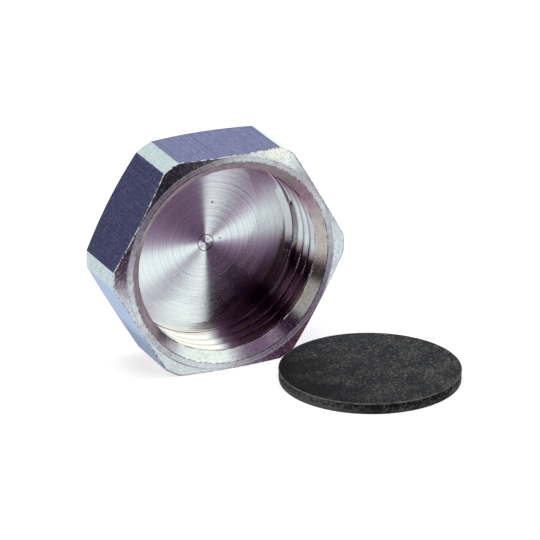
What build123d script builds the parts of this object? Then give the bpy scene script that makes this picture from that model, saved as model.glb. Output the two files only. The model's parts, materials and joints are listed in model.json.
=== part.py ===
"""Hexagonal blind screw cap for a G 1 pipe thread, with the loose sealing disc that goes in it.

Millimetres, +Z up.  The cap stands on one flat of its hexagon with its mouth facing -Y.
The origin is the centre of that flat, so the axis of the bore lies at z = FLAT_DISTANCE.
"""
from build123d import *
from build123d.topology import SkipClean
import os
from math import cos, hypot, radians, sin, tan

# --- Thread and bore -------------------------------------------------------------------
THREAD_MAJOR_DIAMETER = 33.249   # G 1 parallel pipe thread, right-hand
THREAD_PITCH = 2.309
THREAD_FLANK_ANGLE = 27.5        # each flank, from a plane across the axis
THREAD_ROOT_FLAT = 0.38          # width of the groove's bottom
THREAD_RUN_OUT_GAP = 0.9         # from the middle of the groove, where it ends, to the floor
THREAD_RUN_OUT_BEARING = 17.0    # where the groove ends, round the axis from +X towards +Z
BORE_DIAMETER = 30.5             # over the thread's crests
BORE_DEPTH = 10.0                # from the mouth to the flat of the floor
COUNTERSINK_OVERSIZE = 0.35      # how much wider than the thread the mouth opens
COUNTERSINK_ANGLE = 45.0         # from the axis

# --- Floor of the bore -----------------------------------------------------------------
FLOOR_RIM_WIDTH = 1.35           # shallow cone between the flat of the floor and the wall
FLOOR_RIM_RISE = 0.3
DIMPLE_DIAMETER = 2.5            # left where the facing cut meets the axis
DIMPLE_DEPTH = 0.15
PIP_DIAMETER = 0.6               # a point of metal in the middle of the dimple

# --- Body, turned from hexagon bar -----------------------------------------------------
BASE_THICKNESS = 2.5             # solid metal behind the bore
MOUTH_RING_WIDTH = 1.0           # flat ring round the mouth
FRONT_CHAMFER_INSET = 0.2        # how far inside the flats each chamfer starts
FRONT_CHAMFER_ANGLE = 15.0       # from the end face
REAR_CHAMFER_INSET = 0.1
REAR_CHAMFER_ANGLE = 25.0
CORNER_STAND = 2.0               # how far the turned corners stand out beyond the flats

# --- Sealing disc, lying in front of the cap on the same surface ------------------------
SEAL_THICKNESS = 1.8
SEAL_RADIAL_CLEARANCE = 0.7      # between the disc and the thread's crests
SEAL_EDGE_RADIUS = 0.15          # soft edge that the die leaves round the top face
SEAL_GAP = 0.35                  # between the disc's side and the nearest edge of the hexagon
SEAL_BEARING = -62.7             # way from that edge to the disc's centre, from +X in plan

# --- Sizes that follow -----------------------------------------------------------------
BORE_RADIUS = BORE_DIAMETER / 2
MOUTH_RADIUS = (THREAD_MAJOR_DIAMETER + COUNTERSINK_OVERSIZE) / 2
FLOOR_RADIUS = BORE_RADIUS - FLOOR_RIM_WIDTH
RIM_DEPTH = BORE_DEPTH - FLOOR_RIM_RISE
FRONT_FACE_RADIUS = MOUTH_RADIUS + MOUTH_RING_WIDTH
FLAT_DISTANCE = FRONT_FACE_RADIUS + FRONT_CHAMFER_INSET      # from the axis to a flat
REAR_FACE_RADIUS = FLAT_DISTANCE - REAR_CHAMFER_INSET
CORNER_RADIUS = FLAT_DISTANCE + CORNER_STAND
LENGTH = BORE_DEPTH + BASE_THICKNESS
MOUTH_Y = -LENGTH / 2
SEAL_RADIUS = BORE_RADIUS - SEAL_RADIAL_CLEARANCE
THREAD_ROOT_RADIUS = THREAD_MAJOR_DIAMETER / 2
THREAD_LENGTH = BORE_DEPTH - THREAD_RUN_OUT_GAP
THREAD_CUT_LIFT = 0.3            # how far the groove's cut starts inside the thread's crests
BORE_SPLIT_BEARING = 60.0        # of the plane between the two halves in which the bore is cut
TOOL_OVERRUN = 1.0               # how far the bore's and the thread's cuts run in front of the mouth


def turned(outline):
    """A solid turned about the cap's axis from (radius, depth behind the mouth) points."""
    profile = make_face(Polyline(*outline, close=True))
    return Pos(0, MOUTH_Y, FLAT_DISTANCE) * revolve(profile, Axis.Y)


def hexagon_bar():
    """The bar stock, with two of its flats level."""
    section = RegularPolygon(FLAT_DISTANCE, 6, major_radius=False)
    return Pos(0, 0, FLAT_DISTANCE) * extrude(Plane.XZ * section, LENGTH, both=True)


def front_cone_depth(radius):
    """How far behind the mouth's plane the front chamfer lies at this radius."""
    return (radius - FRONT_FACE_RADIUS) * tan(radians(FRONT_CHAMFER_ANGLE))


def turned_outside():
    """What the lathe leaves of the bar: flat ends, a cone at each end and the corners' diameter."""
    rear_cone_depth = (CORNER_RADIUS - REAR_FACE_RADIUS) * tan(radians(REAR_CHAMFER_ANGLE))
    return turned([
        (0, 0),
        (FRONT_FACE_RADIUS, 0),
        (CORNER_RADIUS, front_cone_depth(CORNER_RADIUS)),
        (CORNER_RADIUS, LENGTH - rear_cone_depth),
        (REAR_FACE_RADIUS, LENGTH),
        (0, LENGTH),
    ])


def countersink():
    """The cone that opens the mouth beyond the thread's root."""
    slope = tan(radians(COUNTERSINK_ANGLE))
    depth = (MOUTH_RADIUS - BORE_RADIUS) / slope
    return turned([
        (0, -TOOL_OVERRUN),
        (MOUTH_RADIUS + TOOL_OVERRUN * slope, -TOOL_OVERRUN),
        (BORE_RADIUS, depth),
        (0, depth),
    ])


def bore():
    """The bore over the thread's crests, as far as the floor's rim."""
    return turned([
        (0, -TOOL_OVERRUN),
        (BORE_RADIUS, -TOOL_OVERRUN),
        (BORE_RADIUS, RIM_DEPTH),
        (0, RIM_DEPTH),
    ])


def bore_floor():
    """The end of the bore: coned rim, flat floor, and the dimple with its point of metal."""
    return turned([
        (0, RIM_DEPTH),
        (BORE_RADIUS, RIM_DEPTH),
        (FLOOR_RADIUS, BORE_DEPTH),
        (DIMPLE_DIAMETER / 2, BORE_DEPTH),
        (PIP_DIAMETER / 2, BORE_DEPTH + DIMPLE_DEPTH),
        (0, BORE_DEPTH),
    ])


def groove_half_width(radius):
    """Half the width of the thread's groove at this distance from the axis."""
    return THREAD_ROOT_FLAT / 2 + (THREAD_ROOT_RADIUS - radius) * tan(radians(THREAD_FLANK_ANGLE))


def thread_groove():
    """The metal that the thread takes: a V groove that winds out of the bore from its run-out."""
    bearing = radians(THREAD_RUN_OUT_BEARING)
    run_out = Plane(origin=(0, MOUTH_Y + THREAD_LENGTH, FLAT_DISTANCE),
                    x_dir=(cos(bearing), 0, sin(bearing)), z_dir=(0, -1, 0))
    top_radius = BORE_RADIUS - THREAD_CUT_LIFT
    top_half = groove_half_width(top_radius)
    section = make_face(Plane.XZ * Polyline(
        (top_radius, -top_half),
        (THREAD_ROOT_RADIUS, -THREAD_ROOT_FLAT / 2),
        (THREAD_ROOT_RADIUS, THREAD_ROOT_FLAT / 2),
        (top_radius, top_half),
        close=True))
    helix = Helix(THREAD_PITCH, THREAD_LENGTH + TOOL_OVERRUN, BORE_RADIUS)
    return run_out * sweep(section, path=helix, is_frenet=True)


def half_space(bearing):
    """All that lies on one side of a plane through the cap's axis."""
    reach = 2 * CORNER_RADIUS
    return Pos(0, 0, FLAT_DISTANCE) * Rot(0, bearing, 0) * Pos(0, 0, reach / 2) * Box(reach, reach, reach)


def cap_body():
    """The whole cap, one piece of metal.  The threaded bore is cut in two halves, whose faces aren't
    merged again, so that a crest of the thread is never one face of more than half a turn."""
    body = (hexagon_bar() & turned_outside()) - bore_floor() - countersink()
    with SkipClean():
        for bearing in (BORE_SPLIT_BEARING, BORE_SPLIT_BEARING + 180):
            half = half_space(bearing)
            body = body - (bore() & half) - (thread_groove() & half)
    return body


def seal_centre():
    """Where the disc lies: a small gap from the hexagon's lower right edge, at the disc's height."""
    edge_x = (FLAT_DISTANCE + SEAL_THICKNESS) * tan(radians(30))
    edge_radius = hypot(edge_x, FLAT_DISTANCE - SEAL_THICKNESS)
    edge_y = MOUTH_Y + front_cone_depth(edge_radius)
    reach = SEAL_RADIUS + SEAL_GAP
    bearing = radians(SEAL_BEARING)
    return edge_x + reach * cos(bearing), edge_y + reach * sin(bearing)


def sealing_disc():
    """A plain disc cut from sheet, flat on the surface, its top edge slightly rounded by the die."""
    x, y = seal_centre()
    align = (Align.CENTER, Align.CENTER, Align.MIN)
    disc = Pos(x, y, 0) * Cylinder(SEAL_RADIUS, SEAL_THICKNESS, align=align)
    top_edge = disc.edges().sort_by(Axis.Z)[-1]
    return fillet(top_edge, SEAL_EDGE_RADIUS)


os.makedirs("parts", exist_ok=True)
export_step(cap_body(), "parts/cap_body.step")
export_step(sealing_disc(), "parts/sealing_disc.step")
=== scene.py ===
# %% [markdown]
# # A threaded protection cap and its sealing disc
# A hexagonal blind screw cap, turned from light metal bar, stands on one flat with its mouth open,
# and the black sealing disc that goes in its bottom lies in front of it.
# The imported CAD model is loaded first and stays as it is: it fixes every size and place.
# In the CAD the thread is a plain groove with sharp crests. Here the cap's whole skin is drawn again,
# with rounded crests and roots and with what a lathe leaves behind: turning marks and broken edges.

# %% Load the frame
import bmesh
import bpy
import json
import math
import numpy as np
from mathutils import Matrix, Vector


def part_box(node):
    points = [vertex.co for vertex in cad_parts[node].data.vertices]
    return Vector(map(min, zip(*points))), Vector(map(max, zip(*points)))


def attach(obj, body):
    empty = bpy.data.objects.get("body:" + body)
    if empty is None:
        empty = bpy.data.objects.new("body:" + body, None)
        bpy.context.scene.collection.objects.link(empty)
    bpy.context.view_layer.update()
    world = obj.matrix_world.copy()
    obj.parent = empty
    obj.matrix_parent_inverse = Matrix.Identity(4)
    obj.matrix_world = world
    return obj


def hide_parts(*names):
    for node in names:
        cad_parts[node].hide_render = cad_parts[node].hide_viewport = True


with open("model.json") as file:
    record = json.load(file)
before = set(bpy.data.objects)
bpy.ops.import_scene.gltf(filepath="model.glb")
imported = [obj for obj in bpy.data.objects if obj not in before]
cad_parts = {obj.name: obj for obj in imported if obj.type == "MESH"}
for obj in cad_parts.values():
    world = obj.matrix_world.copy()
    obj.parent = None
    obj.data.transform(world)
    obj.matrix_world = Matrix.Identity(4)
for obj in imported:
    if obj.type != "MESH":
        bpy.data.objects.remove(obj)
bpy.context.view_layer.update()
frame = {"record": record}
MM = 0.001

# %% [markdown]
# ## Sizes taken from the CAD
# The cap's box gives its length, its flats and its turned corners, and the record gives the bore.
# The axis of the bore is level, so everything on the cap is described by a distance from that axis,
# a depth behind the mouth, and an angle round the axis.

# %% Read the main sizes
cap_low, cap_high = (np.array(v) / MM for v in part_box("cap_body"))
disc_low, disc_high = (np.array(v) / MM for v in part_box("sealing_disc"))
mounts = {m["name"]: m for m in frame["record"]["mounts"]}
LENGTH = cap_high[1] - cap_low[1]
MOUTH_Y = cap_low[1]
AXIS_Z = (cap_low[2] + cap_high[2]) / 2
FLAT = (cap_high[2] - cap_low[2]) / 2
CORNER = (cap_high[0] - cap_low[0]) / 2
CREST = mounts["thread"]["dims"]["r_mm"]
print(f"length {LENGTH:.2f}, flats at {FLAT:.2f}, corners at {CORNER:.2f}, axis at z = {AXIS_Z:.2f},"
      f" thread crests at {CREST:.2f} mm")

# %% [markdown]
# ## The camera comes first
# A long lens far away keeps the cap's edges almost parallel. The camera looks at the mouth from the
# left and a little above. Its direction is built from two angles, and then turned slightly so that
# the pair of objects sits in the frame as a catalogue picture places it.

# %% Place the camera
AZIMUTH, ELEVATION = math.radians(-24.356), math.radians(21.568)
EYE_DISTANCE = 0.72306
SENSOR = 36
LENS_TO_SENSOR = 8.4905
AIM_RIGHT, AIM_DOWN = 0.07117, 0.01255
NEAREST, FARTHEST = 0.01, 20
back = Vector((math.sin(AZIMUTH) * math.cos(ELEVATION), -math.cos(AZIMUTH) * math.cos(ELEVATION),
               math.sin(ELEVATION)))
right = Vector((0, 0, 1)).cross(back).normalized()
up = back.cross(right)
mouth_centre = Vector((0, MOUTH_Y, AXIS_Z)) * MM
eye = mouth_centre + back * EYE_DISTANCE
aim = -back * LENS_TO_SENSOR + right * AIM_RIGHT - up * AIM_DOWN
camera_data = bpy.data.cameras.new("camera")
camera_data.lens = LENS_TO_SENSOR * SENSOR
camera_data.sensor_width = SENSOR
camera_data.clip_start = NEAREST
camera_data.clip_end = FARTHEST
camera = bpy.data.objects.new("camera", camera_data)
camera.location = eye
camera.rotation_euler = aim.to_track_quat("-Z", "Y").to_euler()
bpy.context.scene.collection.objects.link(camera)
bpy.context.scene.camera = camera
bpy.context.scene.view_settings.view_transform = "Standard"
print("camera at", [round(v / MM) for v in eye], "mm, lens", round(camera_data.lens), "mm")

# %% [markdown]
# ## A mesh from grids of points
# A turned part is a profile carried round an axis. A grid of points holds that: its rows are the
# points of the profile, and its columns are the angles. numpy works out all points at once, and
# neighbouring points become faces. Several grids that share an edge are welded into one closed skin.

# %% Faces of a grid
def grid_faces(high, wide):
    """The corner numbers of every four-sided face between neighbouring rows and columns: row i and
    column j start at the number i times wide plus j, and the row above lies wide numbers on."""
    i, j = np.meshgrid(np.arange(high - 1), np.arange(wide - 1), indexing="ij")
    a = (i * wide + j).ravel()
    return np.stack([a, a + 1, a + wide + 1, a + wide], axis=1)


# %% Grids into one skin
WELD = 0.0005


def mesh_from_grids(name, grids, slots, sharp):
    """Joins (rows, columns, 3) grids in mm into one object in metres: points closer than WELD
    become one, faces are turned outwards, and edges steeper than sharp degrees stay crisp."""
    points, faces, material = [], [], []
    start = 0
    for grid, slot in zip(grids, slots):
        quads = grid_faces(*grid.shape[:2])
        points.append(grid.reshape(-1, 3) * MM)
        faces.append(quads + start)
        material.append(np.broadcast_to(slot, (grid.shape[0] - 1, grid.shape[1] - 1)).ravel())
        start += grid.shape[0] * grid.shape[1]
    mesh = bpy.data.meshes.new(name)
    mesh.from_pydata(np.concatenate(points), [], np.concatenate(faces).tolist())
    mesh.polygons.foreach_set("material_index", np.concatenate(material))
    solid = bmesh.new()
    solid.from_mesh(mesh)
    bmesh.ops.remove_doubles(solid, verts=solid.verts, dist=WELD * MM)
    bmesh.ops.dissolve_degenerate(solid, edges=solid.edges, dist=WELD * MM)
    bmesh.ops.recalc_face_normals(solid, faces=solid.faces)
    open_edges = sum(1 for e in solid.edges if not e.is_manifold)
    volume = solid.calc_volume()
    if volume < 0:
        bmesh.ops.reverse_faces(solid, faces=solid.faces)
    solid.to_mesh(mesh)
    solid.free()
    mesh.polygons.foreach_set("use_smooth", np.ones(len(mesh.polygons), bool))
    mesh.set_sharp_from_angle(angle=math.radians(sharp))
    piece = bpy.data.objects.new(name, mesh)
    bpy.context.scene.collection.objects.link(piece)
    triangles = sum(len(p.vertices) - 2 for p in mesh.polygons)
    print(f"{name}: {triangles} triangles, {open_edges} open edges, {abs(volume) / MM ** 3:.0f} mm3")
    return piece


# %% Points round the axis
def around_axis(radius, depth, angle):
    """Points at a radius from the bore's axis, a depth behind the mouth and an angle from +X
    towards +Z, each an array or a number: x is the radius times the cosine of the angle, z the
    axis plus the radius times its sine, and y the mouth plus the depth."""
    x, y, z = radius * np.cos(angle), MOUTH_Y + depth, AXIS_Z + radius * np.sin(angle)
    return np.stack(np.broadcast_arrays(x, y, z), axis=-1)


# %% [markdown]
# ## Angles round the cap
# The bar is a hexagon whose corners were turned down, so between two flats there is a narrow strip
# of cylinder. The columns of the grid stand closer together where a flat meets such a strip, and
# near the place where the thread ends, because that is where the shape changes quickly.

# %% Choose the columns
EDGE = math.degrees(math.acos(FLAT / CORNER))
BESIDE_EDGE = 0.55
close_columns = np.array([-0.3, -0.15, 0.0, 0.15, 0.3])
thread_end_columns = [14.2, 15.4, 16.3, 17.2, 18.2]
one_side = np.concatenate([
    np.linspace(-EDGE + BESIDE_EDGE, EDGE - BESIDE_EDGE, 21),
    EDGE + close_columns,
    np.linspace(EDGE + BESIDE_EDGE, 60 - EDGE - BESIDE_EDGE, 5),
    60 - EDGE + close_columns,
])
columns = np.concatenate([30 + 60 * k + one_side for k in range(6)]) % 360
columns = np.unique(np.concatenate([columns, thread_end_columns, [0.0]]))
angle = np.radians(np.append(columns, 360.0))[None, :]
print(len(columns), "columns; flats meet corners", round(EDGE, 2), "degrees from a flat's middle")

# %% The hexagon's outline
SOFT_EDGE = 0.05


def side_radius(angle):
    """The smaller of two radii: the flat's distance over the cosine of the angle from its middle,
    and the corners' radius. They are blended over SOFT_EDGE, so the edge between them is soft."""
    off = (angle - math.radians(30) + math.pi / 6) % (math.pi / 3) - math.pi / 6
    flat = FLAT / np.cos(off)
    near = np.maximum(SOFT_EDGE - np.abs(flat - CORNER), 0) / SOFT_EDGE
    return np.minimum(flat, CORNER) - near ** 2 * SOFT_EDGE / 4


side = side_radius(angle)
print(f"the outline lies {side.min():.2f} to {side.max():.2f} mm from the axis")

# %% [markdown]
# ## The internal pipe thread
# The groove of a G 1 thread is a rounded V with 55 degrees between its flanks, 2.309 mm from turn to
# turn. It winds out of the bore as the angle grows, which makes it right-handed. A Boolean with a swept
# V would leave slivers where the groove runs out, so the wall is worked out as one surface. Its rows
# follow the helix, which keeps the crests crisp: each row sits at one place across the groove, and its
# depth falls by one pitch a turn. After a full turn it meets the row one pitch further out, and the
# weld joins the two. The rounding and the depths are this thread form's shares of the pitch.

# %% Thread sizes
# Radii are from the axis and depths from the mouth, in mm. The tip of the sharp V lies TIP_PAST_ROOT
# outside the rounded root, and the rounded crest lies ROUNDED_DEPTH inside it.
PITCH = 2.309
ROOT = 16.6245
HALF_ANGLE = math.radians(27.5)
ROUNDING = 0.13733 * PITCH
TIP_PAST_ROOT = 0.16008 * PITCH
ROUNDED_DEPTH = 0.64033 * PITCH
SINK_RADIUS, SINK_END = 16.8, 1.7
WALL_START, WALL_END = 0.04, 9.85
THREAD_START = math.radians(17)
GROOVE_DEPTH = 9.1
LEAD_IN = (1.5, 2.1)
print(f"roots at {ROOT:.2f} mm, rounded by {ROUNDING:.3f} mm; last turn {GROOVE_DEPTH:.1f} mm deep")


# %% Section of the groove
def groove_radius(across):
    """The wall's radius at a distance from the groove's middle. Near the middle and near the crest
    it is an arc with the radius ROUNDING. Between them it is a straight flank: the tip of the sharp
    V less the distance over the tangent of HALF_ANGLE. The bore cuts the crest off flat at CREST."""
    x = np.abs(across)
    from_crest = PITCH / 2 - x
    flank = ROOT + TIP_PAST_ROOT - x / math.tan(HALF_ANGLE)
    in_root = ROOT - ROUNDING + np.sqrt(np.maximum(ROUNDING ** 2 - x ** 2, 0))
    on_crest = ROOT - ROUNDED_DEPTH + ROUNDING - np.sqrt(np.maximum(ROUNDING ** 2 - from_crest ** 2, 0))
    reach = ROUNDING * math.cos(HALF_ANGLE)
    radius = np.where(x < reach, in_root, np.where(from_crest < reach, on_crest, flank))
    return np.maximum(radius, CREST)


def wall_radius(depth, angle):
    """The larger of the thread's groove and the 45 degree countersink. The groove's middle lies at
    GROOVE_DEPTH less PITCH times the turns since THREAD_START, where the tool was drawn out, and
    nothing is cut below that. At the mouth the groove is let in smoothly over LEAD_IN, so that the
    countersink stays clean."""
    turns = (angle - THREAD_START) / (2 * np.pi)
    offset = (depth - (GROOVE_DEPTH - PITCH * turns)) / PITCH
    nearest = np.round(offset)
    below_thread = nearest + (turns < 0) > 0.5
    cut = np.where(below_thread, CREST, groove_radius((offset - nearest) * PITCH))
    opening = np.clip((depth - LEAD_IN[0]) / (LEAD_IN[1] - LEAD_IN[0]), 0, 1)
    cut = CREST + (cut - CREST) * opening ** 2 * (3 - 2 * opening)
    return np.maximum(cut, SINK_RADIUS - depth)


# %% The wall, in rows that follow the helix
half = np.array([0.0, 0.08, 0.16, 0.22, 0.281, 0.38, 0.48, 0.58, 0.68, 0.78, 0.8735, 0.9, 0.921, 1.04])
across_rows = np.concatenate([-half[:0:-1], half, [PITCH / 2]])
turn_numbers = np.arange(-5, 2)
row_depths = (across_rows[None, :] + PITCH * turn_numbers[:, None]).ravel() + GROOVE_DEPTH
helix = row_depths[:, None] - PITCH * (angle - THREAD_START) / (2 * np.pi)
helix = np.clip(helix, WALL_START, WALL_END)
wall_r = wall_radius(helix, angle)
wall = around_axis(wall_r, helix, angle)
on_sink = (np.abs(wall_r - (SINK_RADIUS - helix)) < 0.001) & (helix < SINK_END)
print("wall grid", wall.shape, "depth", round(helix.min(), 2), "to", round(helix.max(), 2), "mm")

# %% [markdown]
# ## Floor, mouth and outside
# The floor of the bore was faced with a pointed tool. Its rim rises a little towards the wall in an
# easy curve, and in the middle it has a dimple with a point of metal, where the tool's tip passed the
# axis. Outside, the lathe left a flat ring round the mouth and a cone at each end. Where a cone meets
# a flat it draws a shallow arch. A Screw modifier could turn the inside but not the flats, so every row
# is worked out as a radius and a depth at each angle. Each sharp edge is broken by about a tenth of a
# millimetre, which is what catches the light on real metal.

# %% The floor of the bore, in pairs of a radius and a depth
FLOOR_DEPTH = 10.0
rim_points = [(CREST, WALL_END), (15.22, 9.9), (15.15, 9.94), (15.02, 9.96), (14.6, 9.98)]
flat_points = [(r, FLOOR_DEPTH) for r in (14.0, 12.5, 11, 9, 7, 5, 3.5, 2.2, 1.5)]
dimple_points = [(1.36, 9.985), (1.27, 9.98), (1.2, 10.0), (1.0, 10.02), (0.7, 10.05), (0.45, 10.07),
                 (0.34, 10.07), (0.27, 10.05), (0.18, 10.03), (0.09, 10.01), (0.0, 10.0)]
floor_profile = np.array(rim_points + flat_points + dimple_points)
groove_end = around_axis(wall_radius(np.full_like(angle, WALL_END), angle), WALL_END, angle)
floor = np.concatenate([groove_end, around_axis(floor_profile[:, :1], floor_profile[:, 1:], angle)])
print("floor grid", floor.shape, "depth", WALL_END, "to", floor_profile[:, 1].max(), "mm")

# %% Helpers for the outside
FRONT_TAN, REAR_TAN = math.tan(math.radians(15)), math.tan(math.radians(25))
FRONT_FACE, REAR_FACE = FLAT - 0.2, FLAT - 0.1


def front_cone(radius):
    """Depth of the front chamfer: the distance outside the mouth's ring times the tangent of 15."""
    return (radius - FRONT_FACE) * FRONT_TAN


def rear_cone(radius):
    """Depth of the rear chamfer: the length less the distance outside the rear face times tan 25."""
    return LENGTH - (radius - REAR_FACE) * REAR_TAN


def rows(pairs):
    """Stacks (radius, depth) pairs, each a number or a row of the grid, into one grid of points."""
    radius, depth = (np.concatenate([np.broadcast_to(p[k], angle.shape) for p in pairs]) for k in (0, 1))
    return around_axis(radius, depth, angle)


print(f"mouth ring out to {FRONT_FACE:.2f}, rear face out to {REAR_FACE:.2f} mm")

# %% The ring, the chamfers, the sides and the rear face
# Each broken edge is four rows: one on the face before it, two on the rounding, one on the face after.
BREAK = 0.1
shelf = side - BREAK
shoulder = side - 0.09
front_depth, rear_depth = front_cone(side) + BREAK, rear_cone(side) - BREAK
ring = rows([(SINK_RADIUS - 0.04, WALL_START), (SINK_RADIUS - 0.012, 0.015), (SINK_RADIUS + 0.03, 0)]
            + [(r, 0) for r in np.linspace(16.95, FRONT_FACE, 5)])
chamfer = rows([(FRONT_FACE + s * (shelf - FRONT_FACE), s * front_cone(shelf))
                for s in np.linspace(0, 1, 7)])
front_edge = rows([(shelf, front_cone(shelf)), (side - 0.045, front_cone(side) + 0.003),
                   (side - 0.012, front_cone(side) + 0.035), (side, front_depth)])
outside = rows([(side, (1 - s) * front_depth + s * rear_depth) for s in np.linspace(0, 1, 9)])
rear_edge = rows([(side, rear_depth), (side - 0.012, rear_cone(side) - 0.035),
                  (side - 0.04, rear_cone(side - 0.04)), (shoulder, rear_cone(shoulder))])
rear_radii = [REAR_FACE + (1 - s) * (shoulder - REAR_FACE) for s in np.linspace(0, 1, 4)]
rear = rows([(r, rear_cone(r)) for r in rear_radii]
            + [(r, LENGTH) for r in (16, 13, 10, 7, 4, 2, 1, 0.3, 0)])
print("rows outside:", sum(grid.shape[0] for grid in (ring, chamfer, front_edge, outside, rear_edge, rear)))

# %% One closed skin, with a number for each finish
FLOOR, WALL, RING, CHAMFER, FLATS, CORNERS, REAR, SINK, BURR = range(9)
wall_slots = np.where(on_sink[1:, 1:] & on_sink[:-1, :-1], SINK, WALL)
middle = np.degrees(angle[0, 1:] + angle[0, :-1]) / 2
on_corner = np.abs(middle % 60 - 30) > EDGE
sides = np.where(on_corner, CORNERS, FLATS)
print("columns on the turned corners:", int(on_corner.sum()))
cap = mesh_from_grids("cap", [floor, wall, ring, chamfer, front_edge, outside, rear_edge, rear],
                      [FLOOR, wall_slots, RING, CHAMFER, BURR, sides, REAR, REAR], sharp=28)
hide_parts("cap_body")
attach(cap, "root")

# %% [markdown]
# ## The sealing disc
# A die stamps the disc out of fibre-filled rubber sheet. The cut starts clean under the top face and
# then tears, so the side is rough, with a row of little pits just below the top edge. A bump alone
# would leave its outline smooth. So the side is a grid of angles and heights whose radius is pulled in
# by smooth random values.

# %% Smooth random values
def soft_noise(u, v, period_u, seed):
    """Random values on whole numbers of u and v, blended smoothly in between; u repeats after
    period_u, so that the pattern closes round the disc."""
    rows_v = 64
    table = np.random.default_rng(seed).random((period_u, rows_v))
    iu, iv = np.floor(u).astype(int), np.floor(v).astype(int)
    fu, fv = u - iu, v - iv
    fu, fv = fu * fu * (3 - 2 * fu), fv * fv * (3 - 2 * fv)

    def pick(a, b):
        return table[(iu + a) % period_u, (iv + b) % rows_v]

    low = pick(0, 0) * (1 - fu) + pick(1, 0) * fu
    high = pick(0, 1) * (1 - fu) + pick(1, 1) * fu
    return low * (1 - fv) + high * fv


# %% The disc's torn side
DISC_RADIUS = (disc_high[0] - disc_low[0]) / 2
DISC_CENTRE = (disc_low + disc_high) / 2
THICK = disc_high[2] - disc_low[2]
SIDE_FOOT, SIDE_TOP = 0.05, THICK - 0.12
PIT_HEIGHT, PIT_SPREAD, PIT_DEPTH = THICK * 0.76, 0.17, 0.55
turn = np.linspace(0, 1, 541)[None, :]
height = np.linspace(SIDE_FOOT, SIDE_TOP, 20)[:, None]
coarse = soft_noise(turn * 90, height * 1.2 + 3, 90, 1)
fine = soft_noise(turn * 270, height * 3.5 + 9, 270, 2)
pit_line = np.exp(-((height - PIT_HEIGHT) / PIT_SPREAD) ** 2)
pits = np.clip(soft_noise(turn * 150, height * 1.6, 150, 3) - 0.42, 0, 1) * pit_line * PIT_DEPTH
pulled = 0.02 + 0.06 * coarse + 0.05 * fine + pits
pulled *= np.clip((THICK - 0.1 - height) / 0.12, 0, 1)
print(f"radius {DISC_RADIUS:.2f}, thickness {THICK:.2f}, side pulled in by up to {pulled.max():.2f} mm")

# %% The disc as one closed skin
FACE, CUT = 0, 1
cos_t, sin_t = np.cos(2 * np.pi * turn), np.sin(2 * np.pi * turn)


def disc_rings(radii, heights):
    """Rings round the disc's centre: x and y are the centre plus the radius times the cosine and
    the sine of the turn, and z is the height above the foot."""
    x, y = DISC_CENTRE[0] + radii * cos_t, DISC_CENTRE[1] + radii * sin_t
    return np.stack(np.broadcast_arrays(x, y, disc_low[2] + heights), axis=-1)


disc_side = disc_rings(DISC_RADIUS - pulled, height)
edge_r = DISC_RADIUS - np.array([0, 0.02, 0.07, 0.15])[:, None]
edge_h = np.array([SIDE_TOP, THICK - 0.05, THICK - 0.012, THICK])[:, None]
disc_edge = disc_rings(edge_r, edge_h)
disc_edge[0] = disc_side[-1]
disc_top = disc_rings(np.linspace(DISC_RADIUS - 0.15, 0, 24)[:, None], THICK)
disc_bottom = disc_rings(np.array([DISC_RADIUS - 0.1, 10, 5, 2, 0])[:, None], 0.0)
disc_foot = np.stack([disc_side[0], disc_bottom[0]])
disc = mesh_from_grids("disc", [disc_side, disc_edge, disc_top, disc_foot, disc_bottom],
                       [CUT, CUT, FACE, CUT, FACE], sharp=50)
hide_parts("sealing_disc")
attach(disc, "root")
disc.visible_glossy = False

# %% [markdown]
# ## Shader maths as plain expressions
# A material is a graph of nodes. A small class wraps one output of a node, so that `a * 0.5 + b` adds
# the Math nodes by itself and a finish reads like a formula.

# %% Graph helper
class Graph:
    """The nodes of one material or world."""

    def __init__(self, tree):
        self.tree = tree
        tree.nodes.clear()

    def node(self, kind, settings=None, inputs=None, output=0):
        """Adds a node: settings first, then socket values or links; gives one of its outputs."""
        made = self.tree.nodes.new("ShaderNode" + kind)
        for name, value in (settings or {}).items():
            if name == "stops":
                ramp = made.color_ramp
                while len(ramp.elements) < len(value):
                    ramp.elements.new(1)
                for element, (place, colour) in zip(ramp.elements, value):
                    element.position = place
                    element.color = (*colour, 1)
            else:
                setattr(made, name, value)
        for name, value in (inputs or {}).items():
            socket = made.inputs[name]
            if isinstance(value, Value):
                self.tree.links.new(value.socket, socket)
            elif hasattr(value, "__len__") and len(value) == 3 and len(socket.default_value) == 4:
                socket.default_value = (*value, 1)
            else:
                socket.default_value = value
        return Value(self, made.outputs[output]) if made.outputs else None

    def mix(self, factor, low, high):
        """A colour between low and high."""
        return self.node("Mix", {"data_type": "RGBA"}, {0: factor, 6: low, 7: high}, 2)

    def vector(self, operation, **inputs):
        """A Vector Math node: first and second are its vectors, and scale is its number."""
        sockets = {"first": 0, "second": 1, "scale": "Scale"}
        return self.node("VectorMath", {"operation": operation},
                         {sockets[name]: value for name, value in inputs.items()})

    def parts(self, vector):
        """The X, the Y and the Z of a vector."""
        return [self.node("SeparateXYZ", inputs={0: vector}, output=name) for name in "XYZ"]


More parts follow.
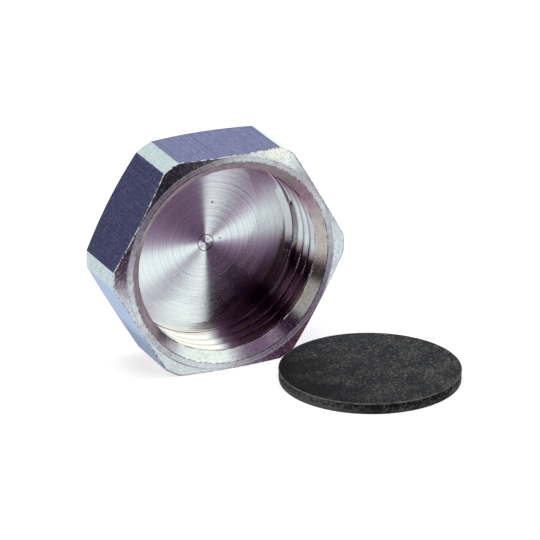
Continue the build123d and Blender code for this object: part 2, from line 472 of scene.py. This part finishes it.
# %% Arithmetic on a socket
class Value:
    """One output socket, with arithmetic on it."""

    def __init__(self, graph, socket):
        self.graph, self.socket = graph, socket

    def math(self, operation, *others, first=None, clamp=False):
        """A Math node on this value and others, with first put before it where that is given."""
        values = ([first] if first is not None else []) + [self, *others]
        return self.graph.node("Math", {"operation": operation, "use_clamp": clamp},
                               dict(enumerate(values)))

    def __add__(self, other):
        return self.math("ADD", other)

    def __sub__(self, other):
        return self.math("SUBTRACT", other)

    def __rsub__(self, other):
        return self.math("SUBTRACT", first=other)

    def __mul__(self, other):
        return self.math("MULTIPLY", other)

    def __neg__(self):
        return self.math("MULTIPLY", -1.0)

    __radd__ = __add__
    __rmul__ = __mul__

    def abs(self):
        """The value without its sign."""
        return self.math("ABSOLUTE")

    def clamp(self):
        """The value kept between 0 and 1."""
        return self.math("ADD", 0.0, clamp=True)

    def clamp_both(self, most):
        """The value kept between -most and most."""
        return self.math("MAXIMUM", -most).math("MINIMUM", most)

    def either(self, other):
        """The larger of two masks."""
        return self.math("MAXIMUM", other)

    def step(self, low, high):
        """0 below low, 1 above high, smooth in between; low may be the larger."""
        return self.graph.node("MapRange", {"interpolation_type": "SMOOTHSTEP"},
                               {"Value": self, "From Min": low, "From Max": high})

    def spread(self):
        """The middle values of a noise, 0.3 to 0.7, spread over 0 to 1."""
        return self.step(0.3, 0.7)

    def between(self, low, high, soft):
        """1 from low to high, with soft edges."""
        return self.step(low - soft / 2, low + soft / 2) * self.step(high + soft / 2, high - soft / 2)


# %% Start and end of a material
def new_material(name):
    """An empty material, its graph, and the object's coordinates in millimetres."""
    made = bpy.data.materials.new(name)
    made.use_nodes = True
    graph = Graph(made.node_tree)
    place = graph.node("TexCoord", output="Object")
    return made, graph, graph.vector("SCALE", first=place, scale=1 / MM)


def finish_material(graph, **inputs):
    """The Principled shader and the output."""
    shader = graph.node("BsdfPrincipled", inputs={k.replace("_", " "): v for k, v in inputs.items()})
    graph.node("OutputMaterial", inputs={"Surface": shader})


# %% [markdown]
# ## Coordinates round the bore
# Turning marks are circles round the axis, so a finish needs the distance from the axis, the depth
# behind the mouth and the angle. They are worked out from the object's own coordinates. The angle is
# 0 at the right side of the cap, 90 at the top, and -90 at the bottom.

# %% Radius, depth and angle as values
PER_RADIAN = 180 / math.pi
SEED_STEP = 37.0


def cap_places(graph, place):
    """The place across and above the axis, its depth behind the mouth, its radius (the root of the
    sum of the two squares), and its angle in degrees from +X to +Z."""
    x, y, height = graph.parts(place)
    z = height - AXIS_Z
    radius = (x * x + z * z).math("SQRT")
    degrees = z.math("ARCTAN2", x) * PER_RADIAN
    return x, y - MOUTH_Y, z, radius, degrees


def turning_marks(graph, along, scale, detail, seed):
    """Ring-shaped marks: random values of one number alone, such as the radius, with finer ones
    added on top. Each seed starts SEED_STEP further along the same noise."""
    return graph.node("TexNoise", {"noise_dimensions": "1D", "normalize": True},
                      {"W": along + seed * SEED_STEP, "Scale": scale, "Detail": detail,
                       "Roughness": 0.6, "Lacunarity": 2.1})


# %% Bumps and slopes
def bump(graph, height, distance, normal=None):
    """A Bump node for a height of 0 to 1, distance in mm, on top of another normal if given."""
    under = {} if normal is None else {"Normal": normal}
    return graph.node("Bump", inputs={"Height": height, "Distance": distance * MM, **under})


def leaning_normal(graph, x, z, slope):
    """The surface's normal, leaned by a slope across the turning marks: the marks run round the
    axis, so the lean is along the cross product of the normal and that round-the-axis way."""
    normal = graph.node("NewGeometry", output="Normal")
    round_axis = graph.node("CombineXYZ", inputs={"X": -z, "Y": 0.0, "Z": x})
    round_axis = graph.vector("NORMALIZE", first=round_axis)
    across = graph.vector("CROSS_PRODUCT", first=normal, second=round_axis)
    total = graph.vector("ADD", first=normal, second=graph.vector("SCALE", first=across, scale=slope))
    return graph.vector("NORMALIZE", first=total)


# %% Spots, stains and scratches
PATCHY = 0.65


def spots(graph, place, scale, low, high, detail=4.0):
    """0 to 1: soft patches of a three-dimensional noise, cut between two of its values."""
    noise = graph.node("TexNoise", inputs={"Vector": place, "Scale": scale, "Detail": detail,
                                           "Roughness": PATCHY})
    return noise.step(low, high)


def stretched(graph, place, scales, detail):
    """Noise drawn out along one axis: a small scale along it makes long streaks."""
    drawn = graph.node("Mapping", inputs={"Vector": place, "Scale": scales})
    return graph.node("TexNoise", inputs={"Vector": drawn, "Scale": 1.0, "Detail": detail,
                                          "Roughness": PATCHY})


def thin_lines(noise, width):
    """1 on the thin lines where a noise passes through its middle value, 0 elsewhere."""
    return (1.0 - (noise - 0.5).abs() * (1 / width)).clamp()


def round_spot(x, z, radius, degrees, size):
    """1 inside a small round spot at a radius and an angle on the floor."""
    away_x = x - radius * math.cos(math.radians(degrees))
    away_z = z - radius * math.sin(math.radians(degrees))
    return (away_x * away_x + away_z * away_z).math("SQRT").step(size, size * 0.6)


# %% [markdown]
# ## The faced floor, the mouth ring and the rear face
# A facing tool leaves fine rings whose slopes lean towards the middle or away from it, never to the
# side. Each spot therefore mirrors a fan of directions along its own radius, and that is what draws
# the light and dark sectors that turn round the centre of a turned face. Real rings are too fine to
# model, so a leaning normal makes them, fully in or fully out, and the shader itself stays smooth.
# The floor also has its dimple and two specks of dirt, and it has painted shade: it darkens towards
# the rim, a dark plum patch lies on the rim at the lower right, and a thin painted shadow line runs
# along its foot on the upper right. The mouth ring is stained, with painted shade on its right side
# and a painted highlight at the bottom, where its stains are fainter. The rear face is plain.

# %% Colours of marks on the metal, and of painted shade and light
WHITE = (1.0, 1.0, 1.0)
DIRT = (0.01, 0.01, 0.01)
RIM_SHADE = (0.72, 0.68, 0.70)
TOOL_LINE = (0.16, 0.1, 0.13)
PLUM_SHADE = (0.16, 0.06, 0.14)
PINK_RIM = (0.6, 0.38, 0.48)
FOOT_SHADOW = (0.1, 0.04, 0.08)
GREY_STAIN = (0.5, 0.47, 0.52)
SHADED_SIDE = (0.4, 0.38, 0.46)
DARK_BURR = (0.12, 0.09, 0.12)
# The second colour printed here is painted shade, not oil.
print("dirt", DIRT, "and oil", PLUM_SHADE)


# %% Marks on the floor and on the ring
def floor_marks(graph, shade, x, z, radius, degrees):
    """The floor's own marks over a shade, one after another: painted shade towards the rim, the dimple's
    edge and its point of metal, painted plum shade at the lower right, the pink part of the rim, a
    painted shadow line at its foot, and the dirt."""
    # Painted shade: the floor is darkened towards the rim, where the wall shades it.
    shade = graph.mix(radius.step(11.0, 14.3) * 0.6, shade, RIM_SHADE)
    line = radius.between(1.26, 1.44, 0.06)
    pip = ((x * 0.8 + z * 0.6).abs() + radius * 0.25).step(0.16, 0.08) * radius.step(0.6, 0.4)
    dirt = round_spot(x, z, 6.8, 80, 0.2).either(round_spot(x, z, 2.5, 8, 0.17))
    shade = graph.mix(line.either(pip) * 0.65, shade, TOOL_LINE)
    # Painted shade: a dark plum patch on the rim at the lower right, where the floor mirrors the dark wall.
    lower_right_shade = degrees.between(-78, -14, 34) * degrees.step(7, -6) * radius.step(8.5, 13.2)
    shade = graph.mix(lower_right_shade * 0.85, shade, PLUM_SHADE)
    pink = radius.step(13.6, 15.0) * (degrees.step(16, 60) + degrees.step(-130, -160)).clamp()
    shade = graph.mix(pink * 0.75, shade, PINK_RIM)
    # Painted shadow: a thin dark line along the foot of the wall, on the upper right of the floor.
    foot = radius.step(15.0, 15.08) * degrees.between(17, 60, 4)
    shade = graph.mix(foot * 0.75, shade, FOOT_SHADOW)
    return graph.mix(dirt, shade, DIRT)


def ring_marks(graph, shade, place, radius, degrees):
    """The mouth ring's stains, its painted shade on the right and its painted highlight at the bottom, and
    the dark burr at its inner edge.
    """
    # Painted highlight: the bottom of the ring is lightened towards white, and its stains are fainter
    # there.
    bottom_highlight = degrees.between(-125, -75, 20)
    stains = spots(graph, place, 1.0, 0.46, 0.6, 6.0) * (1.0 - bottom_highlight * 0.8)
    shade = graph.mix(stains * 0.4, shade, GREY_STAIN)
    shade = graph.mix(degrees.between(-28, 18, 20) * 0.4, shade, SHADED_SIDE)
    shade = graph.mix(bottom_highlight * 0.7, shade, WHITE)
    burr = radius.step(16.98, 16.86) * spots(graph, place, 2.0, 0.4, 0.52, 2.0)
    return graph.mix(burr * 0.75, shade, DARK_BURR)


# %% Faced finishes
MARK_SLOPE = 0.125
RIM_SLOPE = 0.29
FEED_SHARE = 0.08
CRISPNESS = 40.0


def make_faced(name, dull, bright, dish, lean_in, rough, marks=""):
    """A faced surface: each mark leans fully in or fully out by MARK_SLOPE. The share that leans in
    grows with the radius by dish and starts at lean_in, because a faced floor is a little hollow. On
    the right of the floor the rim leans further in by RIM_SLOPE, as it rises to the wall there."""
    made, graph, place = new_material(name)
    x, _, z, radius, degrees = cap_places(graph, place)
    dust = graph.node("TexNoise", inputs={"Vector": place, "Scale": 1.6, "Detail": 4.0})
    lines = turning_marks(graph, radius, 3.4, 3.0, 5).spread()
    shade = graph.mix(lines, dull, bright)
    if marks == "floor":
        shade = floor_marks(graph, shade, x, z, radius, degrees)
    if marks == "ring":
        shade = ring_marks(graph, shade, place, radius, degrees)
    feed = turning_marks(graph, radius, 3.5, 3.0, 2) - 0.5
    fine = turning_marks(graph, radius, 90.0, 1.0, 1) - 0.5
    inward = fine + feed * FEED_SHARE + radius * dish + lean_in
    slope = (inward * CRISPNESS).clamp_both(1.0) * (feed * FEED_SHARE + MARK_SLOPE)
    if marks == "floor":
        rim_right = radius.step(13.8, 14.1) * degrees.step(-16, -8) * degrees.step(36, 14)
        slope = slope + rim_right * RIM_SLOPE
    finish_material(graph, Base_Color=shade, Metallic=1.0, Roughness=dust * 0.06 + rough,
                    Normal=leaning_normal(graph, x, z, slope))
    return made


# %% [markdown]
# ## The thread's wall
# A threading tool leaves the flanks almost mirror-bright. The crests are what is left of the bore, so
# they are duller and carry a brown film of cutting oil, which draws each turn as a thin line. High on
# the wall the flanks carry painted shade, a plum tint, and the first turns carry short chatter marks.
# Beside the place where the thread ends, a strip of the plain bore is left, pale and dull. The radius
# tells crests from flanks, so one finish serves the whole wall.

# %% Thread finish
def make_thread():
    """The threaded wall: film on the flanks, painted shade high on the wall, oil on the crests, chatter
    marks, and the plain strip.
    """
    made, graph, place = new_material("threaded_wall")
    x, depth, z, radius, degrees = cap_places(graph, place)
    film = spots(graph, place, 1.2, 0.3, 0.7)
    shade = graph.mix(film, (0.84, 0.83, 0.85), (0.96, 0.95, 0.96))
    on_crest = radius.step(15.44, 15.3)
    low_right = degrees.between(-88, -5, 8)
    oil_share = low_right * 0.6 + degrees.between(-4, 60, 8) * 0.3 + 0.15
    shade = graph.mix(low_right * 0.45, shade, (0.45, 0.36, 0.45))
    oil = graph.mix(low_right, (0.26, 0.2, 0.16), (0.62, 0.52, 0.22))
    shade = graph.mix(on_crest * oil_share * depth.step(9.0, 7.8), shade, oil)
    # Painted shade: from about 16 to 36 degrees upwards the wall is darkened to a plum tint.
    shade = graph.mix(degrees.step(16, 36) * 0.9, shade, (0.42, 0.25, 0.34))
    ticks = (degrees * 4.6).math("SINE").step(-0.2, 0.6) * degrees.between(-2, 62, 12)
    ticks = ticks * radius.between(15.2, 16.4, 0.2) * depth.between(1.4, 3.4, 0.4)
    shade = graph.mix(ticks * 0.5, shade, (0.45, 0.28, 0.36))
    first_turn = depth.between(1.45, 1.9, 0.25) * degrees.between(14, 80, 14)
    shade = graph.mix(first_turn * 0.65, shade, (0.5, 0.16, 0.26))
    plain = on_crest * depth.step(7.7, 8.0) * degrees.between(-3, 18, 6)
    shade = graph.mix(plain * 0.9, shade, (0.92, 0.93, 0.95))
    slope = (turning_marks(graph, depth, 30.0, 1.0, 1) - 0.5) * 0.06
    finish_material(graph, Base_Color=shade, Metallic=1.0 - plain * 0.6, Roughness=film * 0.05 + 0.03,
                    Normal=leaning_normal(graph, x, z, slope))
    return made


# %% [markdown]
# ## The cut cones and the strips at the corners
# These were cut in one quick pass, so their marks are coarser, and they have picked up stains, fine
# pits and flecks in the box with their fellows. A bump of small flecks makes single bright points
# where everything round them is dark. One function makes all three, as only their tints and sizes
# differ. The countersink also has a painted reflection high on the left, a rosy patch that hides the
# metal, and a painted highlight, a bright broken line where it meets the bore.

# %% The countersink's film and lip
def sink_film(graph, shade, place, radius, degrees):
    """The countersink's shade with its painted reflection and its painted highlight along the lip, and how
    far both of them hide the metal.
    """
    cloudy = spots(graph, place, 1.2, 0.35, 0.65, 6.0)
    # Painted reflection: from the upper right over the top to the left, a rosy cloudy patch, darker next to
    # the bore, stands in for what the metal mirrors and hides the metal.
    painted_reflection = (degrees.step(36, 62) + degrees.step(-136, -148)).clamp() * (cloudy * 0.3 + 0.6)
    film = graph.mix(cloudy, (0.5, 0.34, 0.43), (0.64, 0.5, 0.58))
    film = graph.mix(radius.step(15.75, 15.4) * cloudy, film, (0.5, 0.2, 0.3))
    shade = graph.mix(painted_reflection, shade, film)
    # Painted highlight: a broken white, less metallic line along the lip where the countersink meets the
    # bore.
    lip = radius.step(CREST + 0.12, CREST + 0.04) * spots(graph, place, 2.2, 0.5, 0.56, 2.0)
    return graph.mix(lip, shade, WHITE), (lip * 0.85).either(painted_reflection)


# %% Cut finishes
def make_cut(name, tint, stain, rough, slope_size, flecks, pits, along_axis=False, sink=False):
    """A turned surface: rings of the radius or the depth, soft stains, pits, and bright flecks."""
    made, graph, place = new_material(name)
    x, depth, z, radius, degrees = cap_places(graph, place)
    along = depth if along_axis else radius
    lines = turning_marks(graph, along, 5.0, 2.0, 4).spread()
    shade = graph.mix(lines, tuple(0.88 * t for t in tint), tint)
    shade = graph.mix(spots(graph, place, 0.9, 0.42, 0.7, 6.0) * 0.8, shade, stain)
    scratches = thin_lines(stretched(graph, place, (1.5, 0.6, 1.5), 3.0), 0.03)
    scratches = scratches * spots(graph, place, 0.6, 0.48, 0.6, 2.0)
    marks = scratches.either(spots(graph, place, 3.0, 0.62, 0.7))
    shade = graph.mix(marks * pits, shade, (0.1, 0.09, 0.1))
    metal = 1.0
    if sink:
        shade, hidden = sink_film(graph, shade, place, radius, degrees)
        metal = 1.0 - hidden
    slope = (turning_marks(graph, along, 40.0, 1.0, 1) - 0.5) * slope_size
    bumps = spots(graph, place, 4.0, 0.56, 0.7)
    finish_material(graph, Base_Color=shade, Metallic=metal, Roughness=bumps * 0.12 + rough,
                    Normal=bump(graph, bumps, flecks, normal=leaning_normal(graph, x, z, slope)))
    return made


# %% [markdown]
# ## The drawn flats
# The hexagon's flats are the skin of the bar as it was drawn through the die: streaks run along the
# bar, with long fine scratches, and short ones across from handling. Low on the left the flat has
# painted shade, darker towards the table.
# Noise that reads the angle alone runs along the bar by itself and needs no unwrapping.

# %% Flat finish
def make_flats():
    """The flats: streaks of the angle alone, which run along the bar, with grain, scratches and die
    lines over them, and painted shade low on the left."""
    made, graph, place = new_material("drawn_flats")
    _, _, z, radius, degrees = cap_places(graph, place)
    streaks = turning_marks(graph, degrees, 0.8, 4.0, 6).spread()
    grain = stretched(graph, place, (2.4, 1.2, 2.4), 5.0).spread()
    shade = graph.mix(streaks * 0.55 + grain * 0.45, (0.5, 0.52, 0.66), (0.86, 0.88, 1.0))
    short_lines = thin_lines(stretched(graph, place, (0.35, 0.9, 0.35), 2.0), 0.02)
    short_lines = short_lines * spots(graph, place, 0.6, 0.5, 0.6, 2.0)
    shade = graph.mix(short_lines * 0.55, shade, WHITE)
    long_lines = degrees.between(156.5, 157.1, 0.4).either(degrees.between(83.0, 83.5, 0.4))
    shade = graph.mix(long_lines * 0.5, shade, (1.0, 0.95, 1.0))
    die_lines = degrees.between(160.0, 160.7, 0.4).either(degrees.between(96.0, 96.6, 0.4))
    shade = graph.mix(die_lines * 0.5, shade, (0.3, 0.3, 0.42))
    # Painted shade: low on the left the flat darkens towards the table.
    table_shade = degrees.between(-152, -120, 8) * (z + radius * 0.28).step(-4.2, -8.4)
    shade = graph.mix(table_shade, shade, (0.26, 0.24, 0.36))
    finish_material(graph, Base_Color=shade, Metallic=1.0, Roughness=grain * 0.15 + 0.2,
                    Normal=bump(graph, streaks + grain * 0.5, 0.006))
    return made


# %% [markdown]
# ## The broken edge and its painted highlight
# Where the front cone meets the flats the edge is broken and rounded. Its finish is a painted highlight:
# nearly white and hardly metallic, so it shows as a bright, slightly broken line. A Bevel modifier would
# round every edge alike, so the narrow rows of this one edge have a finish of their own.

# %% Edge finish
def make_edge():
    """The broken edge as a painted highlight: matt and white, with dark gaps along it."""
    made, graph, place = new_material("edge_highlight")
    # Painted highlight: the edge is coloured white where this noise is high, and dark in the gaps.
    highlight_mask = spots(graph, place, 1.6, 0.42, 0.54)
    shade = graph.mix(highlight_mask, (0.12, 0.12, 0.17), WHITE)
    finish_material(graph, Base_Color=shade, Metallic=0.1, Roughness=highlight_mask * 0.2 + 0.3)
    return made


# %% The cap's finishes, in the order of their numbers
finishes = [
    make_faced("faced_floor", (0.86, 0.83, 0.85), (1.0, 0.99, 1.0),
               dish=0.006, lean_in=0.005, rough=0.05, marks="floor"),
    make_thread(),
    make_faced("mouth_ring", (0.86, 0.84, 0.83), (1.0, 0.99, 0.98),
               dish=0.0, lean_in=0.02, rough=0.14, marks="ring"),
    make_cut("front_chamfer", (0.9, 0.89, 0.9), (0.66, 0.63, 0.68),
             rough=0.06, slope_size=0.12, flecks=0.006, pits=0.55),
    make_flats(),
    make_cut("turned_corners", (0.97, 0.99, 0.97), (0.82, 0.84, 0.84),
             rough=0.12, slope_size=0.2, flecks=0.01, pits=0.5, along_axis=True),
    make_faced("rear_face", (0.8, 0.79, 0.8), (0.98, 0.97, 0.98),
               dish=0.0, lean_in=0.02, rough=0.16),
    make_cut("countersink", (0.96, 0.94, 0.93), (0.78, 0.72, 0.68),
             rough=0.1, slope_size=0.08, flecks=0.004, pits=0.5, sink=True),
    make_edge(),
]
for finish in finishes:
    cap.data.materials.append(finish)
print("cap finishes:", [finish.name for finish in finishes])

# %% [markdown]
# ## Fibre-filled rubber
# The sheet is pressed from black rubber with short light fibres. The fibres show as curled lines and
# small flecks, with soft grey clouds between them. The left part of the disc, beside the cap, has
# painted shade, and its right part is painted lighter. Real strands would be too many, so a fibre is
# drawn where a noise passes through its middle value. The die opened small dark pits in the side, which
# are in its shape as well, and both ends of the side are paler.

# %% Rubber finish
def make_rubber(name, cut_side):
    """Black rubber that turns grey by a sum of clouds, grain, fibres and flecks, times painted light and
    shade that change across the disc.
    """
    made, graph, place = new_material(name)
    x, _, z = graph.parts(place)
    clouds = spots(graph, place, 0.3, 0.35, 0.7, 4.0)
    grain = spots(graph, place, 2.2, 0.44, 0.72, 5.0)
    curls = graph.node("TexNoise", inputs={"Vector": place, "Scale": 1.3, "Detail": 1.0})
    fibres = thin_lines(curls, 0.06) * spots(graph, place, 1.3, 0.5, 0.6, 1.0)
    # Painted shade and light: the disc is darker on its left, beside the cap, and lighter on its right;
    # clouds blur the border.
    light_and_shade_by_side = (x - DISC_CENTRE[0] + clouds * 4).step(-12.0, -1.0) * 0.85 + 0.1
    light_and_shade_by_side = light_and_shade_by_side + (x - DISC_CENTRE[0]).step(1.0, 9.0) * 0.3
    flecks = spots(graph, place, 2.6, 0.6, 0.68, 2.0) * (spots(graph, place, 0.55, 0.4, 0.6) * 0.8 + 0.2)
    light = clouds * 0.07 + grain * (clouds * 0.22 + 0.1) + fibres * 0.95 + flecks * 0.4
    shade = graph.mix((light * light_and_shade_by_side).clamp(), (0.009, 0.009, 0.009), (0.46, 0.46, 0.455))
    if cut_side:
        middle_part = (x - DISC_CENTRE[0]).between(-9.0, 10.0, 8.0) * 0.6 + 0.4
        shade = graph.mix((1.0 - middle_part) * 0.38, shade, (0.42, 0.42, 0.415))
        torn = spots(graph, place, 2.0, 0.46, 0.53, 4.0) * z.between(THICK * 0.4, THICK * 0.92, 0.25)
        shade = graph.mix(torn * (middle_part * 0.5 + 0.5), shade, (0.003, 0.003, 0.003))
        pale_rim = z.step(THICK - 0.22, THICK - 0.12) * spots(graph, place, 0.7, 0.35, 0.6, 3.0)
        shade = graph.mix(pale_rim * 0.8, shade, (0.2, 0.2, 0.2))
    finish_material(graph, Base_Color=shade, Roughness=clouds * 0.15 + 0.65, Specular_IOR_Level=0.2,
                    Normal=bump(graph, grain, 0.05))
    return made


for finish in (make_rubber("sheet_face", False), make_rubber("sheet_cut", True)):
    disc.data.materials.append(finish)
print("disc finishes:", [finish.name for finish in disc.data.materials])

# %% [markdown]
# ## Light
# Shiny metal shows what stands round it. The eye sees a plain white surround, but the metal mirrors
# another one: five rings of light and dark cards, like those round a polished part in a studio. They
# could be modelled one by one, but each would have to be found by trial. Here they are laid out by the
# facet that mirrors them: half-way between a direction and the fixed viewing direction lies the normal
# of the facet that shows it. Its lean from the bore's axis says which surface that is (the floor and
# the ring 0 to 10 degrees, the front chamfer 15, the thread's flanks 27, the countersink 45, the flats
# 90), and its turn says on which side of the cap. The cards are fixed in the world, but they suit this
# one view, in which their tones are matched to the real cap's look. From elsewhere, or in another
# surround, the metal shows other sectors. Light that reaches dull surfaces is plain and even.

# %% Tones of the cards
TONE_LEVELS = [0, 0.03, 0.07, 0.15, 0.3, 0.4, 0.6, 0.8, 1.05, 1.15]
TONE_RED = [2.6, 2.3, 1.8, 1.45, 1.2, 1.08, 0.95, 0.86, 0.86, 0.97]
TONE_BLUE = [2.7, 2.2, 1.8, 1.6, 1.3, 1.2, 1.1, 1.02, 0.97, 0.88]
RED_SHARE, GREEN_SHARE, BLUE_SHARE = 0.2126, 0.7152, 0.0722


def tone(level):
    """A card's colour for a brightness: greys that go from plum in the dark, through lavender, to a
    white with a breath of green. Red and blue are multiples of the green, and the three shares of
    the eye's brightness add up to the level."""
    red = np.interp(level, TONE_LEVELS, TONE_RED)
    blue = np.interp(level, TONE_LEVELS, TONE_BLUE)
    green = level / (RED_SHARE * red + GREEN_SHARE + BLUE_SHARE * blue)
    return (green * red, green, green * blue)


for level in (0.03, 0.4, 1.05):
    print("tone of a card at", level, [round(float(c), 3) for c in tone(level)])

# %% Facets of the surround
SEAM = -97
world = bpy.data.worlds.new("studio")
world.use_nodes = True
world.cycles.sampling_method = "NONE"
bpy.context.scene.world = world
sky = Graph(world.node_tree)
way = sky.node("TexCoord", output="Generated")
half_way = sky.vector("ADD", first=way, second=tuple(back))
fx, fy, fz = sky.parts(sky.vector("NORMALIZE", first=half_way))
lean = (-fy).math("ARCCOSINE") * PER_RADIAN
turned = fz.math("ARCTAN2", fx) * PER_RADIAN
turned = turned + turned.math("LESS_THAN", SEAM) * 360.0
print("facets are found for the viewing direction", [round(v, 3) for v in back])


def ring_of_cards(cards):
    """One ring of cards: pairs of a turn and a brightness or colour, blended evenly from one to the
    next. The ring is cut open at SEAM."""
    stops = [((a - SEAM) / 360, card if hasattr(card, "__len__") else tone(card)) for a, card in cards]
    return sky.node("ValToRGB", {"stops": stops}, {"Fac": (turned - SEAM) * (1 / 360)})


# %% Cards of each surface
floor_cards = ring_of_cards([
    (-97, 0.68), (-90, 0.45), (-86, 0.15), (-45, 0.13), (-27, 0.16), (-16, 0.21), (-8, 0.3), (0, 0.62),
    (5, 0.98), (26, 1.02), (36, 0.66), (46, 0.58), (56, 0.86), (66, 1.05), (86, 1.08), (91, 0.8),
    (94, 0.03), (104, 0.008), (138, 0.015), (152, 0.07), (164, 0.16), (174, 0.35), (182, 0.7),
    (197, 0.82), (207, 0.5), (216, 0.23), (226, 0.13), (236, 0.15), (246, 0.34), (256, 0.58)])
chamfer_cards = ring_of_cards([
    (-97, 0.62), (-88, 0.36), (-80, 0.2), (-72, 0.08), (-64, (0.05, 0.02, 0.035)),
    (-36, (0.15, 0.06, 0.1)), (-27, (0.34, 0.24, 0.31)), (-18, 0.88), (0, 0.93), (14, 0.72), (24, 0.4),
    (42, 0.34), (50, 0.75), (56, 1.08), (66, 1.15), (76, 0.92), (88, 0.36), (96, (0.12, 0.11, 0.14)),
    (110, (0.045, 0.038, 0.055)), (128, (0.02, 0.016, 0.022)), (144, (0.06, 0.05, 0.07)),
    (164, (0.03, 0.024, 0.034)), (178, 0.07), (184, 0.3), (190, 0.7), (205, 0.88), (232, 0.85)])
flank_cards = ring_of_cards([
    (-86, 0.3), (-82, 0.01), (-4, 0.01), (2, 0.7), (27, 0.68), (35, 0.2), (44, 0.18), (50, 0.42),
    (56, 0.7), (62, 1.15), (90, 1.2), (94, 0.7), (98, 0.14), (104, 0.04), (116, 0.02), (132, 0.001),
    (140, 0.008), (148, 0.05), (161, 0.002), (170, 0.012), (174, 0.4), (178, 0.74), (200, 0.72),
    (212, 0.5), (222, (0.3, 0.2, 0.26)), (240, (0.22, 0.13, 0.18))])
sink_cards = ring_of_cards([
    (-97, (0.27, 0.17, 0.23)), (-60, (0.27, 0.18, 0.24)), (-4, (0.32, 0.21, 0.29)), (12, 0.55),
    (24, 0.5), (42, 0.42), (50, 0.42), (56, 0.75), (62, 0.98), (75, 1.05), (88, 1.0), (95, 0.45),
    (100, 0.16), (112, 0.13), (118, 0.24), (123, 0.12), (127, 0.018), (135, 0.02),
    (140, (0.36, 0.36, 0.35)), (156, (0.36, 0.36, 0.35)), (161, (0.045, 0.032, 0.036)),
    (168, (0.05, 0.035, 0.04)), (174, (0.42, 0.39, 0.37)), (180, (0.56, 0.53, 0.49)),
    (198, (0.52, 0.47, 0.47)), (212, (0.30, 0.19, 0.25)), (256, (0.29, 0.18, 0.24))])
back_cards = ring_of_cards([
    (-60, 0.3), (20, 0.8), (45, 1.1), (64, 1.1), (70, (0.265, 0.28, 0.42)), (104, (0.30, 0.315, 0.46)),
    (108, (0.66, 0.79, 0.79)), (130, (0.64, 0.76, 0.78)), (134, (0.072, 0.07, 0.135)),
    (166, (0.072, 0.07, 0.135)), (170, (0.64, 0.75, 0.78)), (190, (0.64, 0.75, 0.78)),
    (198, (0.60, 0.73, 0.88)), (225, (0.60, 0.73, 0.88)), (245, 0.8)])

# %% Each ring of cards from its own lean outwards
outer_rings = [(10.5, 12.5, chamfer_cards), (19, 22, flank_cards), (40, 44, sink_cards),
               (70, 80, back_cards)]
cards = floor_cards
for starts, full, ring_cards in outer_rings:
    cards = sky.mix(lean.step(starts, full), cards, ring_cards)
print("rings of cards:", 1 + len(outer_rings))

# %% White for the eye, cards for the metal, even light for the rest
DULL_LIGHT = (0.5, 0.5, 0.5)
in_gloss = sky.node("LightPath", output="Is Glossy Ray")
seen = sky.node("LightPath", output="Is Camera Ray") + sky.node("LightPath", output="Is Transmission Ray")
colour = sky.mix(in_gloss, sky.mix(seen.clamp(), DULL_LIGHT, WHITE), cards)
background = sky.node("Background", inputs={"Color": colour, "Strength": 1.0})
sky.node("OutputWorld", inputs={"Surface": background})
print("surround:", len(world.node_tree.nodes), "nodes")

# %% [markdown]
# ## The table and the lamp
# The pieces stand on a white table that glows a little towards the camera alone, so that it melts into
# the white surround and keeps only a light shadow. One wide, weak lamp overhead gives that shadow.
# The metal mirrors neither of them, because its cards stand for all that is round it.

# %% The table
TABLE_HALF = 3
TABLE_GLOW = 0.55
TABLE_WHITE = (0.85, 0.85, 0.85)
corners = [(-TABLE_HALF, -TABLE_HALF, 0), (TABLE_HALF, -TABLE_HALF, 0),
           (TABLE_HALF, TABLE_HALF, 0), (-TABLE_HALF, TABLE_HALF, 0)]
table_mesh = bpy.data.meshes.new("table")
table_mesh.from_pydata(corners, [], [(0, 1, 2, 3)])
table = bpy.data.objects.new("table", table_mesh)
bpy.context.scene.collection.objects.link(table)
table.visible_glossy = False
table_finish = bpy.data.materials.new("white_table")
table_finish.use_nodes = True
graph = Graph(table_finish.node_tree)
glow = graph.node("LightPath", output="Is Camera Ray") * TABLE_GLOW
glow = graph.node("Emission", inputs={"Color": WHITE, "Strength": glow})
matt = graph.node("BsdfDiffuse", inputs={"Color": TABLE_WHITE})
graph.node("OutputMaterial", inputs={"Surface": graph.node("AddShader", inputs={0: glow, 1: matt})})
table_mesh.materials.append(table_finish)
print("table", 2 * TABLE_HALF, "m wide")

# %% The lamp
LAMP_WIDTH, LAMP_WATTS = 0.4, 0.9
LAMP_PLACE = (-0.1, -0.1, 0.45)
lamp_data = bpy.data.lights.new("overhead", "AREA")
lamp_data.shape = "SQUARE"
lamp_data.size = LAMP_WIDTH
lamp_data.energy = LAMP_WATTS
lamp = bpy.data.objects.new("overhead", lamp_data)
lamp.location = LAMP_PLACE
lamp.rotation_euler = (-lamp.location).to_track_quat("-Z", "Y").to_euler()
bpy.context.scene.collection.objects.link(lamp)
lamp.visible_glossy = False
print(f"lamp {LAMP_WIDTH} m wide, {lamp.location.length:.2f} m away")
